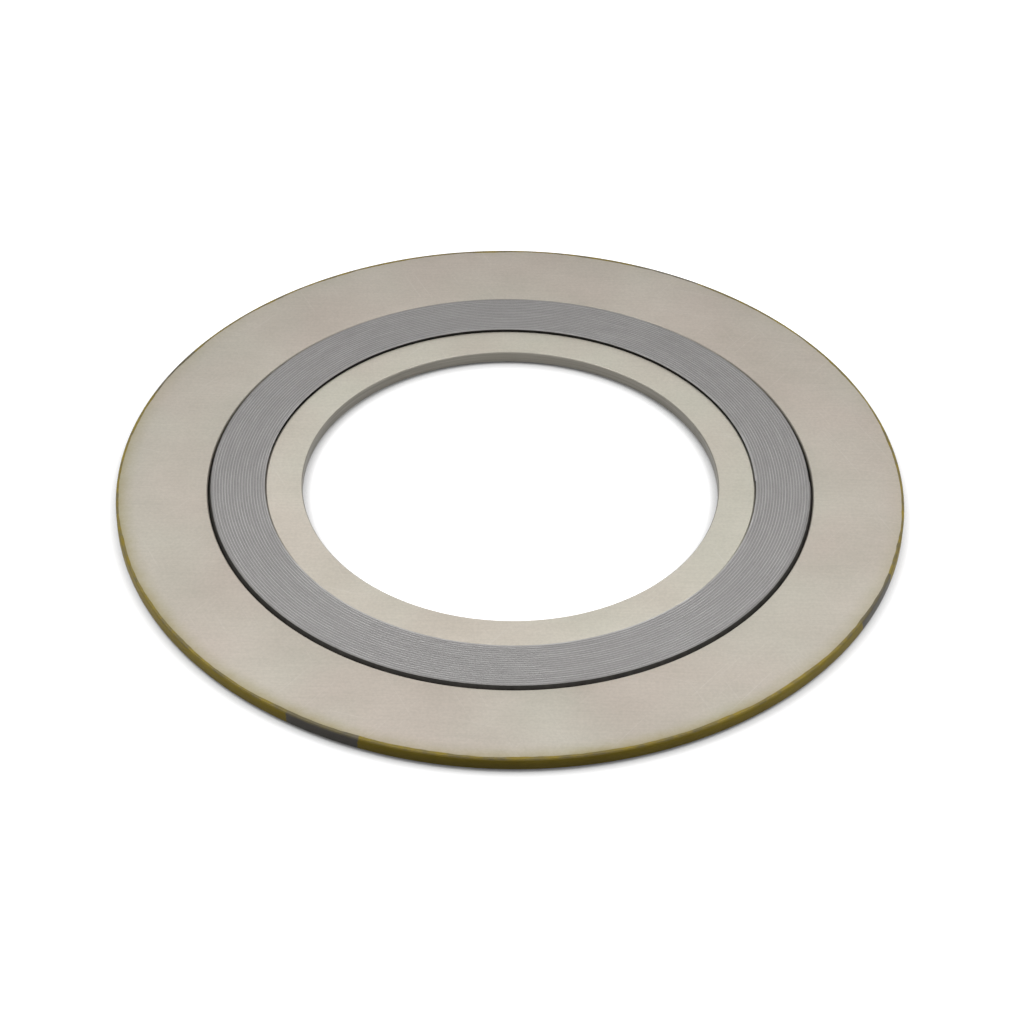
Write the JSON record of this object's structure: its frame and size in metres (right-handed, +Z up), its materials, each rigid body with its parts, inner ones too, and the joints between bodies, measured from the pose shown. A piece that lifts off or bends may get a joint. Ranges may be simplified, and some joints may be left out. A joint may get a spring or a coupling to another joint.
{
  "type": "spiral wound gasket",
  "caption": "Flat round flange gasket: a spiral winding of chevron steel strip and graphite between a flat centring ring and an inner ring.",
  "frame": {"origin": "centre of the winding's lower face, on the bore's axis", "axes": "+Z up through the bore, square to the seal faces"},
  "size_m": [0.1938, 0.1938, 0.0045],
  "materials": {
    "outer_ring": "dull tan-grey mill finish, with a yellow painted rim",
    "rim_paint": "thin yellow colour-code paint on the outer rim",
    "inner_ring": "pale mill finish",
    "steel_strip": "cold rolled strip, slit edges",
    "graphite_filler": "soft grey graphite, pressed smooth"
  },
  "bodies": {
    "root": {"outer_ring": "outer_ring", "inner_ring": "inner_ring", "steel_strip": "steel_strip", "graphite_filler": "graphite_filler"}
  },
  "joints": []
}
